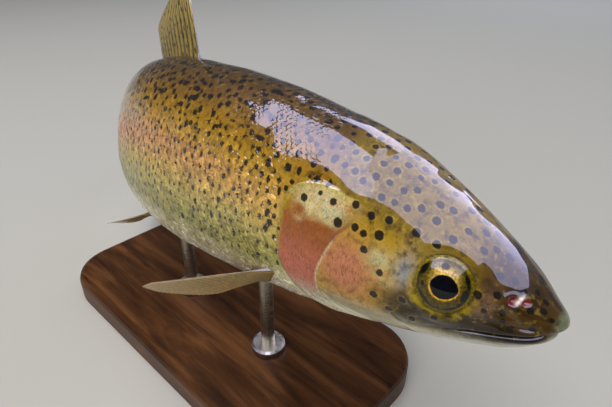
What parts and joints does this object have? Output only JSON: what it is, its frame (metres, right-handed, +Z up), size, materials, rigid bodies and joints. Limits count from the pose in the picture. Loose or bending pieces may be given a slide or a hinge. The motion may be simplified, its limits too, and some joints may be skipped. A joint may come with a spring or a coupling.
{
  "type": "rainbow trout",
  "caption": "Life-size model of a rainbow trout, body curved as it turns, held upright on a low display stand with a flat base and rods.",
  "frame": {"origin": "middle of the stand's flat underside", "axes": "+X where the head points, +Z up, the fish's right flank towards -Y"},
  "size_m": [0.3645, 0.1914, 0.1678],
  "materials": {
    "trout_skin": "wet, glossy, spotted",
    "trout_eye": "clear and wet",
    "trout_fin": "wet, slightly see-through",
    "stand_wood": "satin oiled",
    "stand_metal": "brushed"
  },
  "bodies": {
    "root": {"head": "trout_skin", "lower_jaw": "trout_skin", "upper_jaw_right": "trout_skin", "upper_jaw_left": "trout_skin", "gill_cover_right": "trout_skin", "gill_cover_left": "trout_skin", "trunk": "trout_skin", "tail_stalk": "trout_skin", "eye_right": "trout_eye", "eye_left": "trout_eye", "dorsal_fin": "trout_fin", "adipose_fin": "trout_fin", "anal_fin": "trout_fin", "tail_fin": "trout_fin", "pectoral_fin_right": "trout_fin", "pectoral_fin_left": "trout_fin", "pelvic_fin_right": "trout_fin", "pelvic_fin_left": "trout_fin", "stand_base": "stand_wood", "stand_rod_front": "stand_metal", "stand_rod_rear": "stand_metal"}
  },
  "joints": []
}
